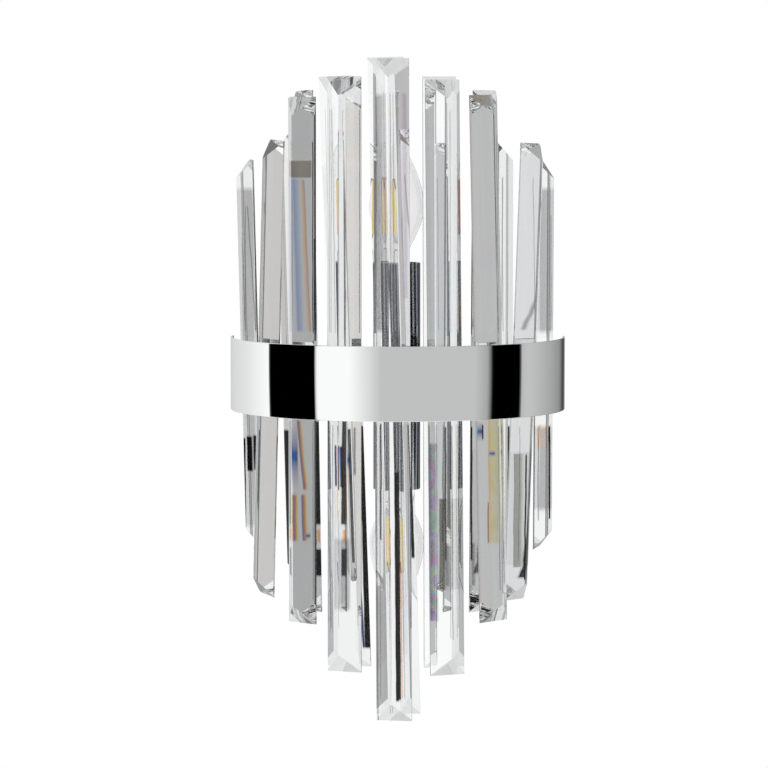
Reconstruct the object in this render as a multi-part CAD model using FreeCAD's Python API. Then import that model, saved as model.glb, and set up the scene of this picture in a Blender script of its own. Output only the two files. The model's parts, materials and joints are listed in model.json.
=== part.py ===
import FreeCAD, Part
import math
import os

from FreeCAD import Rotation, Vector

# Crystal wall sconce: a half-round polished band hides two half rings on a wall housing,
# and each ring carries a row of long clear prisms, every one on its own screw.
# Two candle lamps stand back to back behind the prisms, one up and one down.
#
# Millimetres. The wall is the plane y = 0, the room lies towards -Y, and +Z is up.
# The origin is the centre of the wall fixing, level with the middle of the band.

# ---------------------------------------------------------------- driving dimensions
band_radius = 107.5            # outside of the half-round band
band_height = 46.5
band_sheet = 1.2
band_edge_ease = 0.3
band_arc_offset = 8.7          # centre of the band's arc, in front of the wall
band_wall_gap = 0.3
bracket_gap = 0.05             # between the band and the angles welded inside it

prism_width = 22.5             # flat back of a prism
prism_ridge = 10.0             # from the flat back to the ridge
prism_edge_flat = 0.9          # blunt strip along each side edge
prism_ridge_flat = 0.7         # blunt strip along the ridge
prism_bevel = 11.5             # length cut off the ridge at each end
prism_longest = 412.0
prism_step = 41.0              # each pair further out is shorter by this
prism_bore_play = 0.05         # radial play of a prism on its screw
prism_back_gap = 0.1           # between a prism and its spacer

outer_row_radius = 91.3        # from the arc's centre to the flat backs
inner_row_radius = 64.0
inner_arc_offset = 16.0        # centre of the inner row, in front of the wall

# Each prism's place: azimuth round the row, the way it faces, its lean (top to the right),
# its tip (top outwards), all in degrees, the height of its middle, and its pair number.
outer_stations = [
    (-78.8, -80.0, 0.0, 1.4, 13.0, 4),
    (-59.1, -64.0, 2.4, -0.5, 5.3, 3),
    (-39.4, -39.5, 0.0, 0.0, 11.8, 2),
    (-20.0, -20.5, 0.0, 0.0, 3.8, 1),
    (-0.8, -10.5, -0.3, 0.0, -5.6, 0),
    (19.7, 20.7, -0.6, 0.0, 1.8, 1),
    (39.4, 41.5, -1.2, -0.5, 13.0, 2),
    (59.8, 57.5, 1.8, 1.2, 3.4, 3),
    (78.8, 78.0, 0.0, 0.2, 12.7, 4),
]
inner_stations = [
    (-88.0, -90.0, 0.0, 1.5, 10.5, 3),
    (-59.0, -60.0, -2.0, 0.0, 16.0, 2),
    (-29.5, -24.0, -2.1, 0.0, 4.3, 1),
    (-0.9, -2.5, -1.5, 0.0, -4.6, 0),
    (25.5, 24.5, -0.2, 0.0, 3.9, 1),
    (57.6, 51.0, 0.5, 0.0, 16.0, 2),
    (88.0, 90.0, 0.0, 0.0, 3.3, 3),
]

ring_sheet = 1.5
ring_height = 24.0
ring_foot = 12.0               # length of the foot turned in at each end of a ring
ring_hole_play = 0.2

screw_radius = 1.5             # the screws of prisms and feet
screw_head_height = 2.0
prism_screw_length = 16.0
foot_screw_length = 2.25
foot_screw_spread = 7.0        # height of a foot screw above and below the middle
prism_seat_height = 6.5        # seat of the screw head, above the prism's flat back
prism_seat_radius = 3.6
spacer_radius = 4.0
spacer_length = 3.0
nut_across_flats = 5.5
nut_height = 2.4
seat_gap = 0.05                # where a piece is pressed on a curved one
thread_play = 0.05
small_sides = 8                # flat sides that stand for the round of a small screw
through = 1.0                  # how far a cut runs past the faces that it opens

housing_sheet = 1.5
housing_height = 28.0
tray_half_width = 46.0
tray_depth = 22.0
wing_thickness = 2.0
wing_side_gap = 0.9            # between the ends of the wings and the band
wing_corner = 3.0

bracket_half_length = 42.0
bracket_height = 20.0
bracket_thickness = 2.0
wall_slot_spacing = 50.0
wall_slot_width = 4.5
wall_slot_length = 12.0
cable_hole_radius = 8.0
stud_radius = 2.0
stud_spacing = 74.0
stud_reach = 5.0               # of a stud past the front of the tray
stud_hole_play = 0.2
stud_end_gap = 0.2             # over a stud's end, inside its cap nut
cap_nut_across_flats = 7.0
cap_nut_hex_height = 3.2
cap_nut_dome_radius = 3.2
earth_screw_offset = 13.6
earth_head_radius = 4.0
earth_head_height = 2.6
earth_slot_width = 1.0
earth_slot_depth = 1.2

angle_sheet = 1.5              # angles that hold the band
angle_height = 20.0
angle_foot = 14.0
angle_start = 80.0             # azimuth where an angle's curved leg starts

sleeve_tray_gap = 3.0          # between the sleeves and the front of the tray
pipe_radius = 5.0
pipe_bore = 3.8
pipe_nut_across_flats = 14.0
pipe_nut_height = 3.0
hub_radius = 10.0
hub_half_height = 9.0
hub_chamfer = 1.0
hub_bore = 4.0
hub_seat_start = 4.5           # start of a pipe's seat, from the middle of the hub
arm_seat_start = 5.5
arm_tail = 4.0                 # of the arm pipe past the inside of the tray
nipple_top = 20.0

sleeve_radius = 15.0
sleeve_wall = 0.8
sleeve_base = 1.2
sleeve_rim = 72.0              # height of the open rim
sleeve_edge_ease = 0.25
sleeve_hole_play = 0.2

holder_radius = 13.0
holder_nut_gap = 0.2           # between a lampholder and the nut below it
holder_foot_radius = 8.0
holder_foot_height = 8.0
holder_shoulder = 34.0
holder_mouth = 70.0
holder_floor = 44.5
holder_chamfer = 0.8
lead_hole_top = 30.0
shell_bore = 7.1
shell_sheet = 0.5
shell_bottom = 49.5
shell_top = 69.0
contact_radius = 3.0
contact_height = 2.6

cap_radius = 6.8               # screw cap of a lamp
cap_bottom = 52.0
cap_top = 72.4
cap_sheet = 0.5
cap_floor = 66.0
cap_skirt = 3.0
cap_tip_bottom = 47.6
cap_tip_radius = 2.4
cap_tip_height = 1.0
cap_insulator_inset = 1.2      # top of the insulator's cone, in from the cap's side
cap_lead_in = 0.8              # height of the cone below the thread
cap_collar = (0.25, 0.4)       # the collar under the skirt stands out, over this height
cap_glass_gap = 0.3
glass_wall = 0.7
glass_neck = 6.0
glass_neck_bottom = 67.0
glass_neck_top = 72.6
glass_belly = 17.5             # widest radius, and its height
glass_belly_height = 105.0
glass_nose_radius = 8.5
glass_tip = 148.0
stem_radius = 3.0
stem_bottom = 66.5
stem_foot_gap = 0.4            # between the flared foot of the stem and the neck
stem_foot_height = 1.5
stem_flare = 2.5               # height of the cone over the foot
stem_shoulder = 79.0
stem_pinch = 1.6
stem_draw = 2.0                # height over which the stem draws in to its pinch
stem_pinch_top = 85.0
rod_draw = 1.0
rod_radius = 0.8
rod_top = 119.0
wire_radius = 0.3
filament_radius = 0.85
filament_count = 4
filament_low = (3.4, 90.5)     # distance from the axis, and height
filament_high = (4.6, 124.0)
filament_turn = 20.0           # of the first filament round the axis
wire_end_gap = 0.1             # between a wire and the end of its filament
wire_sink = 1.0                # of a wire in the glass of the stem
wire_crest = 1.6               # of a wire's bend above its filament

block_left = 10.0              # terminal block, in the tray
block_width = 20.0
block_depth = 11.5
block_height = 23.0
block_screw_radius = 1.8
block_screw_depth = 2.0
block_screw_places = (0.25, 0.75)  # across the block, as shares of its width
block_groove = 0.8
lead_radius = 0.7
lead_pitch = 1.2               # of a lead from the pipe's axis, sideways and up
lead_end = 26.0
lead_bend = 6.0
lead_insets = (3.6, 0.6)       # of the two leads in the block, from its face to the wall
lead_block_bend = 3.0

# ---------------------------------------------------------------- derived places
band_inner_radius = band_radius - band_sheet
wing_half_width = band_inner_radius - wing_side_gap
lamp_offset = tray_depth + sleeve_tray_gap + sleeve_radius
block_face = tray_depth - housing_sheet - block_depth
outer_ring_radius = outer_row_radius - spacer_length
inner_ring_radius = inner_row_radius - spacer_length
foot_face = wing_thickness + ring_sheet
angle_face = wing_thickness + angle_sheet
outer_foot_x = outer_ring_radius - ring_foot / 2.0
inner_foot_x = inner_ring_radius - ring_foot / 2.0
angle_foot_x = wing_half_width - angle_foot / 2.0 - ring_sheet
nut_corner_radius = nut_across_flats / math.sqrt(3.0)
lock_nut_bottom = hub_half_height + sleeve_base
holder_bottom = lock_nut_bottom + pipe_nut_height + holder_nut_gap
lamp_axis = Vector(0, -lamp_offset, 0)
up = Vector(0, 0, 1)


# ---------------------------------------------------------------- small helpers
def slab(x0, x1, y0, y1, z0, z1):
    """Box between three pairs of limits."""
    return Part.makeBox(x1 - x0, y1 - y0, z1 - z0, Vector(x0, y0, z0))


def disc(radius, start, end, foot=Vector(0, 0, 0)):
    """Upright cylinder from one height to another."""
    return Part.makeCylinder(radius, end - start, foot + Vector(0, 0, start), up)


def pipe(radius, bore, start, end, foot=Vector(0, 0, 0)):
    """Upright round pipe."""
    return disc(radius, start, end, foot).cut(disc(bore, start - through, end + through, foot))


def turned(outline):
    """Solid of revolution about Z from a closed outline of (radius, height)."""
    points = [Vector(radius, 0, height) for radius, height in outline]
    face = Part.Face(Part.makePolygon(points + [points[0]]))
    return face.revolve(Vector(0, 0, 0), up, 360.0)


def bar(radius, sides, start, end):
    """Upright bar with flat sides, by the radius of its corners."""
    turns = [2.0 * math.pi * k / sides for k in range(sides)]
    outline = [Vector(radius * math.cos(a), radius * math.sin(a), start) for a in turns]
    return Part.Face(Part.makePolygon(outline + [outline[0]])).extrude(Vector(0, 0, end - start))


def hexagon(across_flats, start, end):
    """Upright hexagonal bar."""
    return bar(across_flats / math.sqrt(3.0), 6, start, end)


def aimed(shape, point, direction):
    """Copy of a shape made along Z, moved to a point with Z turned to a direction."""
    copy = shape.copy()
    copy.Placement = FreeCAD.Placement(point, Rotation(up, direction))
    return copy


def turned_over(shape):
    """The same piece for the lower lamp, turned half round the arm."""
    copy = shape.copy()
    copy.rotate(Vector(0, 0, 0), Vector(0, 1, 0), 180.0)
    return copy


def half_ring(radius, sheet, height, arc_offset, back):
    """Strip bent to a half circle, with straight legs that end at a plane y = -back."""
    centre = Vector(0, -arc_offset, -height / 2.0)
    bore = radius - sheet
    ring = Part.makeCylinder(radius, height, centre)
    ring = ring.cut(Part.makeCylinder(bore, height, centre))
    reach = radius + through
    ring = ring.cut(slab(-reach, reach, -arc_offset, radius, -height, height))
    legs = [
        slab(side * radius if side < 0 else bore, -bore if side < 0 else radius,
             -arc_offset, -back, -height / 2.0, height / 2.0)
        for side in (-1, 1)
    ]
    return ring.fuse(legs).removeSplitter()


def screw_hole(radius, x, z, front, back):
    """Hole along Y between two distances in front of the wall."""
    return Part.makeCylinder(radius, front - back, Vector(x, -front, z), Vector(0, 1, 0))


def hex_screw(length):
    """Hexagon-head screw along Z, seated at z = 0, with its head above."""
    head = hexagon(nut_across_flats, 0, screw_head_height)
    return head.fuse(bar(screw_radius, small_sides, -length, 0))


# ---------------------------------------------------------------- band and its angles
def make_outer_band():
    """Band of polished sheet with eased edges, a little more than half a circle."""
    half = band_height / 2.0
    bore = band_inner_radius
    eased = half - band_edge_ease
    outline = [
        (bore, -eased), (bore + band_edge_ease, -half), (band_radius - band_edge_ease, -half),
        (band_radius, -eased), (band_radius, eased), (band_radius - band_edge_ease, half),
        (bore + band_edge_ease, half), (bore, eased)]
    points = [Vector(radius, 0, height) for radius, height in outline]
    section = Part.Face(Part.makePolygon(points + [points[0]]))
    past_half = math.degrees(math.asin((band_arc_offset + through) / band_radius))
    section.rotate(Vector(0, 0, 0), up, 180.0 - past_half)
    band = section.revolve(Vector(0, 0, 0), up, 180.0 + 2.0 * past_half)
    band.translate(Vector(0, -band_arc_offset, 0))
    reach = band_radius + through
    return band.cut(slab(-reach, reach, -band_wall_gap, reach, -band_height, band_height))


def make_band_angles():
    """Two angles: a curved leg inside the band and a flat foot on the housing's wing."""
    half = angle_height / 2.0
    radius = band_inner_radius - bracket_gap
    start = math.radians(angle_start)
    centre = Vector(0, -band_arc_offset, -half)
    leg = Part.makeCylinder(radius, angle_height, centre)
    leg = leg.cut(Part.makeCylinder(radius - angle_sheet, angle_height, centre))
    front = -band_arc_offset - radius * math.cos(start)
    leg = leg.common(slab(0, band_radius, front, -wing_thickness, -half, half))
    foot_end = wing_half_width - angle_sheet / 2.0
    foot = slab(wing_half_width - angle_foot, foot_end, -angle_face, -wing_thickness, -half, half)
    for z in (-foot_screw_spread, foot_screw_spread):
        hole = screw_hole(screw_radius + ring_hole_play, angle_foot_x, z, angle_face + through, 0)
        foot = foot.cut(hole)
    right = leg.fuse(foot).removeSplitter()
    left = right.mirror(Vector(0, 0, 0), Vector(1, 0, 0))
    return [left, right]


# ---------------------------------------------------------------- prisms on their screws
def station_place(station, row_radius, arc_offset):
    """Pivot point on a prism's flat back, and the turn of the prism there."""
    azimuth, facing, lean, tip, height, pair = station
    angle = math.radians(azimuth)
    x = row_radius * math.sin(angle)
    y = -arc_offset - row_radius * math.cos(angle)
    turn = Rotation(up, facing)
    turn = turn.multiply(Rotation(Vector(0, 1, 0), lean))
    turn = turn.multiply(Rotation(Vector(1, 0, 0), tip))
    return Vector(x, y, 0), turn


def make_prism(station, row_radius, arc_offset):
    """Triangular crystal: ridge to the room, ends cut back to the ridge, bored for its screw."""
    azimuth, facing, lean, tip, height, pair = station
    length = prism_longest - prism_step * pair
    top = height + length / 2.0
    bottom = height - length / 2.0
    half = prism_width / 2.0
    crest = prism_ridge_flat / 2.0
    section = [
        Vector(-half, 0, bottom),
        Vector(half, 0, bottom),
        Vector(half, -prism_edge_flat, bottom),
        Vector(crest, -prism_ridge, bottom),
        Vector(-crest, -prism_ridge, bottom),
        Vector(-half, -prism_edge_flat, bottom),
    ]
    prism = Part.Face(Part.makePolygon(section + [section[0]])).extrude(Vector(0, 0, length))
    for end, inward in ((top, -1), (bottom, 1)):
        cut_outline = [
            Vector(-prism_width, 0, end),
            Vector(-prism_width, -2 * prism_ridge, end),
            Vector(-prism_width, -2 * prism_ridge, end + 2 * inward * prism_bevel),
        ]
        wedge = Part.Face(Part.makePolygon(cut_outline + [cut_outline[0]]))
        prism = prism.cut(wedge.extrude(Vector(2 * prism_width, 0, 0)))
    outward = Vector(0, -1, 0)
    bore = Part.makeCylinder(screw_radius + prism_bore_play, 2 * prism_ridge,
                             Vector(0, prism_ridge / 2.0, 0), outward)
    seat = Part.makeCylinder(prism_seat_radius, prism_ridge,
                             Vector(0, -prism_seat_height, 0), outward)
    prism = prism.cut(bore).cut(seat)
    point, turn = station_place(station, row_radius, arc_offset)
    prism.Placement = FreeCAD.Placement(point, turn)
    return prism


def make_crystal_ring(stations, row_radius, ring_radius, arc_offset, foot_x):
    """Half ring that carries a row: a hole at every station and a foot at each end."""
    ring = half_ring(ring_radius, ring_sheet, ring_height, arc_offset, wing_thickness)
    half = ring_height / 2.0
    for side in (-1, 1):
        ends = sorted((side * (ring_radius - ring_foot), side * ring_radius))
        ring = ring.fuse(slab(ends[0], ends[1], -foot_face, -wing_thickness, -half, half))
        for z in (-foot_screw_spread, foot_screw_spread):
            hole = screw_hole(screw_radius + ring_hole_play, side * foot_x, z,
                              foot_face + through, 0)
            ring = ring.cut(hole)
    hole = bar(screw_radius + ring_hole_play, small_sides, -prism_screw_length, 0)
    for station in stations:
        point, turn = station_place(station, row_radius, arc_offset)
        outward = turn.multVec(Vector(0, -1, 0))
        ring = ring.cut(aimed(hole, point, outward))
    return ring.removeSplitter()


def make_station_hardware(stations, row_radius, ring_radius, arc_offset):
    """Screws, spacers and nuts of one row."""
    screws = []
    spacers = []
    nuts = []
    ring_bore = ring_radius - ring_sheet
    screw = hex_screw(prism_screw_length)
    spacer_bore = bar(screw_radius + 2 * prism_bore_play, small_sides, -2 * spacer_length, through)
    nut = hexagon(nut_across_flats, -nut_height, 0)
    nut = nut.cut(bar(screw_radius + thread_play, small_sides, -nut_height - through, through))
    for station in stations:
        point, turn = station_place(station, row_radius, arc_offset)
        outward = turn.multVec(Vector(0, -1, 0))
        skew = math.sin(math.radians(abs(station[1] - station[0])))
        nut_gap = 3 * seat_gap + nut_corner_radius * skew
        screws.append(aimed(screw, point + outward * prism_seat_height, outward))
        spacer_foot = -spacer_length + seat_gap + spacer_radius * skew
        spacer = bar(spacer_radius, 6, spacer_foot, -prism_back_gap)
        spacer = spacer.cut(spacer_bore)
        spacers.append(aimed(spacer, point, outward))
        nut_face = row_radius - ring_bore + nut_gap
        nuts.append(aimed(nut, point - outward * nut_face, outward))
    return screws, spacers, nuts


# ---------------------------------------------------------------- housing and wall bracket
def make_back_housing():
    """Shallow tray open to the wall, with a wing on each side for the rings and the band."""
    half = housing_height / 2.0
    tray = slab(-tray_half_width, tray_half_width, -tray_depth, 0, -half, half)
    upright = [edge for edge in tray.Edges
               if edge.BoundBox.ZLength > half and edge.BoundBox.YMin < -tray_depth + 0.01]
    tray = tray.makeFillet(wing_corner, upright)
    wings = slab(-wing_half_width, wing_half_width, -wing_thickness, 0, -half, half)
    ends = [edge for edge in wings.Edges
            if edge.BoundBox.YLength > wing_thickness - 0.01 and edge.BoundBox.ZLength < 0.01]
    wings = wings.makeFillet(wing_corner, ends)
    hollow_half = tray_half_width - housing_sheet
    hollow = slab(-hollow_half, hollow_half, housing_sheet - tray_depth, through,
                  housing_sheet - half, half - housing_sheet)
    housing = tray.fuse(wings).cut(hollow).removeSplitter()
    for side in (-1, 1):
        stud_hole = screw_hole(stud_radius + stud_hole_play, side * stud_spacing / 2.0, 0,
                               tray_depth + through, tray_depth - housing_sheet - through)
        housing = housing.cut(stud_hole)
        for x in (inner_foot_x, outer_foot_x, angle_foot_x):
            for z in (-foot_screw_spread, foot_screw_spread):
                hole = screw_hole(screw_radius + thread_play, side * x, z, foot_face, -through)
                housing = housing.cut(hole)
    pipe_hole = screw_hole(pipe_radius + sleeve_hole_play, 0, 0, tray_depth + through,
                           tray_depth - housing_sheet - through)
    return housing.cut(pipe_hole)


def make_wall_bracket():
    """Flat strip on the wall: two slots for wall screws, a cable hole and stud holes."""
    half = bracket_height / 2.0
    strip = slab(-bracket_half_length, bracket_half_length, -bracket_thickness, 0, -half, half)
    ends = [edge for edge in strip.Edges
            if edge.BoundBox.YLength > bracket_thickness - 0.01 and edge.BoundBox.ZLength < 0.01]
    strip = strip.makeFillet(wing_corner, ends)
    front = bracket_thickness + through
    tapped = stud_radius + thread_play
    strip = strip.cut(screw_hole(cable_hole_radius, 0, 0, front, -through))
    strip = strip.cut(screw_hole(tapped, -earth_screw_offset, 0, front, -through))
    round_part = (wall_slot_length - wall_slot_width) / 2.0
    slot_radius = wall_slot_width / 2.0
    for side in (-1, 1):
        centre = side * wall_slot_spacing / 2.0
        slot = slab(centre - round_part, centre + round_part, -front, through,
                    -slot_radius, slot_radius)
        for x in (centre - round_part, centre + round_part):
            slot = slot.fuse(screw_hole(slot_radius, x, 0, front, -through))
        strip = strip.cut(slot)
        strip = strip.cut(screw_hole(tapped, side * stud_spacing / 2.0, 0, front, -through))
    return strip


def make_bracket_studs():
    """Threaded studs pressed in the bracket, which reach through the tray's front."""
    length = tray_depth + stud_reach
    return [screw_hole(stud_radius, side * stud_spacing / 2.0, 0, length, thread_play)
            for side in (-1, 1)]


def make_cap_nuts():
    """Domed nuts that hold the housing on its studs."""
    nut = hexagon(cap_nut_across_flats, 0, cap_nut_hex_height)
    dome = Part.makeSphere(cap_nut_dome_radius, Vector(0, 0, cap_nut_hex_height))
    dome = dome.common(disc(cap_nut_across_flats, cap_nut_hex_height, 2 * cap_nut_across_flats))
    nut = nut.fuse(dome).removeSplitter()
    nut = nut.cut(disc(stud_radius + thread_play, -through, stud_reach + stud_end_gap))
    return [aimed(nut, Vector(side * stud_spacing / 2.0, -tray_depth, 0), Vector(0, -1, 0))
            for side in (-1, 1)]


def make_earth_screw():
    """Earth screw in the bracket."""
    head = disc(earth_head_radius, 0, earth_head_height)
    slot = slab(-earth_head_radius, earth_head_radius, -earth_slot_width / 2.0,
                earth_slot_width / 2.0, earth_head_height - earth_slot_depth,
                earth_head_height + through)
    screw = head.cut(slot).fuse(disc(stud_radius, thread_play - bracket_thickness, 0))
    place = Vector(-earth_screw_offset, -bracket_thickness, 0)
    return [aimed(screw.removeSplitter(), place, Vector(0, -1, 0))]


def make_foot_screws(columns):
    """Short screws at the given distances from the middle, both sides, two to a foot."""
    screw = hex_screw(foot_screw_length)
    return [aimed(screw, Vector(side * x, -foot_face, z), Vector(0, -1, 0))
            for x in columns
            for side in (-1, 1)
            for z in (-foot_screw_spread, foot_screw_spread)]


def make_terminal_block():
    """Three-pole terminal block, fixed inside the tray's front."""
    half = block_height / 2.0
    floor = -block_face - block_screw_depth
    block = slab(block_left, block_left + block_width, -block_face - block_depth, -block_face,
                 -half, half)
    pole = block_height / 3.0
    for k in (-1, 0, 1):
        for share in block_screw_places:
            x = block_left + share * block_width
            well = Part.makeCylinder(block_screw_radius, block_screw_depth,
                                     Vector(x, floor, k * pole), Vector(0, 1, 0))
            block = block.cut(well)
    for z in (-pole / 2.0, pole / 2.0):
        block = block.cut(slab(block_left - through, block_left + block_width + through, floor,
                               through - block_face, z - block_groove / 2.0,
                               z + block_groove / 2.0))
    return block


# ---------------------------------------------------------------- lamp arm
def make_hub():
    """Turned cross piece: two nipple seats on the lamp axis and the arm's seat at the back."""
    hub = turned([
        (0, -hub_half_height), (hub_radius - hub_chamfer, -hub_half_height),
        (hub_radius, -hub_half_height + hub_chamfer), (hub_radius, hub_half_height - hub_chamfer),
        (hub_radius - hub_chamfer, hub_half_height), (0, hub_half_height)])
    hub.translate(lamp_axis)
    reach = hub_half_height + through
    back = lamp_offset - hub_radius - through
    seat = pipe_radius + thread_play
    hub = hub.cut(disc(hub_bore, -reach, reach, lamp_axis))
    hub = hub.cut(disc(seat, hub_seat_start, reach, lamp_axis))
    hub = hub.cut(disc(seat, -reach, -hub_seat_start, lamp_axis))
    hub = hub.cut(screw_hole(hub_bore, 0, 0, lamp_offset, back))
    return hub.cut(screw_hole(seat, 0, 0, lamp_offset - arm_seat_start, back))


def make_arm_pipe():
    """Threaded pipe from inside the tray to the hub; the leads run in it."""
    front = lamp_offset - arm_seat_start
    back = tray_depth - housing_sheet - arm_tail
    return screw_hole(pipe_radius, 0, 0, front, back).cut(
        screw_hole(pipe_bore, 0, 0, front + through, back - through))


def make_arm_nuts():
    """A nut in front of the tray's face and one behind it."""
    nut = hexagon(pipe_nut_across_flats, 0, pipe_nut_height)
    nut = nut.cut(disc(pipe_radius + thread_play, -through, pipe_nut_height + through))
    outer = aimed(nut, Vector(0, -tray_depth, 0), Vector(0, -1, 0))
    inner = aimed(nut, Vector(0, housing_sheet - tray_depth, 0), Vector(0, 1, 0))
    return [outer, inner]


def make_nipple():
    """Threaded pipe from the hub up through the sleeve's base into the lampholder."""
    return pipe(pipe_radius, pipe_bore, hub_seat_start, nipple_top, lamp_axis)


def make_lock_nut():
    """Nut inside the sleeve that clamps its base on the hub."""
    nut = hexagon(pipe_nut_across_flats, lock_nut_bottom, lock_nut_bottom + pipe_nut_height)
    nut.translate(lamp_axis)
    return nut.cut(disc(pipe_radius + thread_play, 0, 2 * nipple_top, lamp_axis))


def make_sleeve():
    """Polished sleeve with a closed base, open at the rim."""
    ease = sleeve_edge_ease
    bore = sleeve_radius - sleeve_wall
    floor = hub_half_height + sleeve_base
    hole = pipe_radius + sleeve_hole_play
    sleeve = turned([
        (hole, hub_half_height), (sleeve_radius - ease, hub_half_height),
        (sleeve_radius, hub_half_height + ease), (sleeve_radius, sleeve_rim - ease),
        (sleeve_radius - ease, sleeve_rim), (bore, sleeve_rim), (bore, floor), (hole, floor)])
    sleeve.translate(lamp_axis)
    return sleeve


def make_lampholder():
    """Moulded candle lampholder: a foot on the nipple, a long body and a deep socket."""
    foot_top = holder_bottom + holder_foot_height
    holder = turned([
        (0, holder_bottom), (holder_foot_radius, holder_bottom), (holder_foot_radius, foot_top),
        (holder_radius, holder_shoulder), (holder_radius, holder_mouth - holder_chamfer),
        (holder_radius - holder_chamfer, holder_mouth), (0, holder_mouth)])
    holder.translate(lamp_axis)
    seat = pipe_radius + thread_play
    holder = holder.cut(disc(seat, holder_bottom - through, nipple_top + seat_gap, lamp_axis))
    holder = holder.cut(disc(pipe_bore, nipple_top, lead_hole_top, lamp_axis))
    socket = shell_bore + shell_sheet + seat_gap
    return holder.cut(disc(socket, holder_floor, holder_mouth + through, lamp_axis))


def make_screw_shell():
    """Thin metal shell that the lamp screws into."""
    return pipe(shell_bore + shell_sheet, shell_bore, shell_bottom, shell_top, lamp_axis)


def make_centre_contact():
    """Domed centre contact on the socket's floor."""
    shoulder = contact_height / 2.0
    contact = turned([
        (0, holder_floor), (contact_radius, holder_floor),
        (contact_radius, holder_floor + shoulder),
        (contact_radius - shoulder, holder_floor + contact_height),
        (0, holder_floor + contact_height)])
    contact.translate(lamp_axis)
    return contact


def lead_section(centre, heading):
    """Flat-sided section of a lead, square to a heading along X, Y or Z."""
    across = Vector(heading.y, heading.z, heading.x)
    rise = heading.cross(across)
    corners = []
    for k in range(small_sides):
        angle = 2.0 * math.pi * (k + 0.5) / small_sides
        offset = across * math.cos(angle) + rise * math.sin(angle)
        corners.append(centre + offset * lead_radius)
    return Part.Face(Part.makePolygon(corners + [corners[0]]))


def lead_run(start, end):
    """Straight stretch of a lead."""
    heading = (end - start).normalize()
    return lead_section(start, heading).extrude(end - start)


def make_lead(side, turn_back):
    """Insulated lead of the upper lamp: block, arm pipe, hub, nipple."""
    x = side * lead_pitch
    level = lead_pitch
    block_end = Vector(block_left, -turn_back, level)
    turn_start = Vector(x + lead_block_bend, -turn_back, level)
    turn_end = Vector(x, -turn_back - lead_block_bend, level)
    turn_centre = Vector(x + lead_block_bend, -turn_back - lead_block_bend, level)
    rise_start = Vector(x, lead_bend - lamp_offset, level)
    rise_end = Vector(x, -lamp_offset, level + lead_bend)
    rise_centre = Vector(x, lead_bend - lamp_offset, level + lead_bend)
    lead = lead_run(block_end, turn_start)
    first_bend = lead_section(turn_start, Vector(-1, 0, 0)).revolve(turn_centre, up, 90.0)
    lead = lead.fuse(first_bend)
    lead = lead.fuse(lead_run(turn_end, rise_start))
    second_bend = lead_section(rise_start, Vector(0, -1, 0))
    lead = lead.fuse(second_bend.revolve(rise_centre, Vector(-1, 0, 0), 90.0))
    return lead.fuse(lead_run(rise_end, Vector(x, -lamp_offset, lead_end))).removeSplitter()


def make_lamp_leads():
    """Two leads to each lamp."""
    upper = [make_lead(side, block_face + inset) for side, inset in zip((1, -1), lead_insets)]
    lower = [lead.mirror(Vector(0, 0, 0), up) for lead in upper]
    return upper + lower


# ---------------------------------------------------------------- lamps
def on_round(centre, radius, angle):
    """Point on a round of the glass, at an angle above level."""
    return centre + Vector(radius * math.cos(angle), 0, radius * math.sin(angle))


def glass_body(wall):
    """Solid inside the glass, drawn in by a wall: neck, cone, round belly, cone, round nose."""
    foot = Vector(glass_neck - wall, 0, glass_neck_bottom)
    neck = Vector(glass_neck - wall, 0, glass_neck_top)
    floor = Vector(0, 0, glass_neck_bottom)
    belly = Vector(0, 0, glass_belly_height)
    belly_radius = glass_belly - wall
    nose = Vector(0, 0, glass_tip - glass_nose_radius)
    nose_radius = glass_nose_radius - wall
    reach = neck - belly
    flare = math.atan2(reach.z, reach.x) + math.acos(belly_radius / reach.Length)
    taper = math.asin((belly_radius - nose_radius) / (nose.z - belly.z))
    cone_end = on_round(belly, belly_radius, flare)
    taper_start = on_round(belly, belly_radius, taper)
    taper_end = on_round(nose, nose_radius, taper)
    tip = on_round(nose, nose_radius, math.pi / 2.0)
    belly_middle = on_round(belly, belly_radius, (flare + taper) / 2.0)
    nose_middle = on_round(nose, nose_radius, (taper + math.pi / 2.0) / 2.0)
    outline = [
        Part.LineSegment(floor, foot),
        Part.LineSegment(foot, neck),
        Part.LineSegment(neck, cone_end),
        Part.Arc(cone_end, belly_middle, taper_start),
        Part.LineSegment(taper_start, taper_end),
        Part.Arc(taper_end, nose_middle, tip),
        Part.LineSegment(tip, floor),
    ]
    face = Part.Face(Part.Wire([curve.toShape() for curve in outline]))
    return face.revolve(Vector(0, 0, 0), up, 360.0)


def make_bulb_glass():
    """Candle-shaped glass envelope with a straight neck."""
    glass = glass_body(0.0).cut(glass_body(glass_wall))
    glass.translate(lamp_axis)
    return glass


def make_bulb_cap():
    """Screw cap: metal skirt round the neck, plain thread body, insulator and contact tip."""
    cup = glass_neck + cap_glass_gap
    insulator = cap_radius - cap_insulator_inset
    tip_top = cap_tip_bottom + cap_tip_height
    skirt = cap_top - cap_skirt
    collar_out, collar_height = cap_collar
    cap = turned([
        (0, cap_tip_bottom), (cap_tip_radius, cap_tip_bottom), (cap_tip_radius, tip_top),
        (insulator, cap_bottom), (cap_radius, cap_bottom + cap_lead_in), (cap_radius, skirt),
        (cap_radius + collar_out, skirt + collar_height), (cup + cap_sheet, cap_top),
        (cup, cap_top), (cup, cap_floor), (0, cap_floor)])
    cap.translate(lamp_axis)
    return cap


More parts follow.
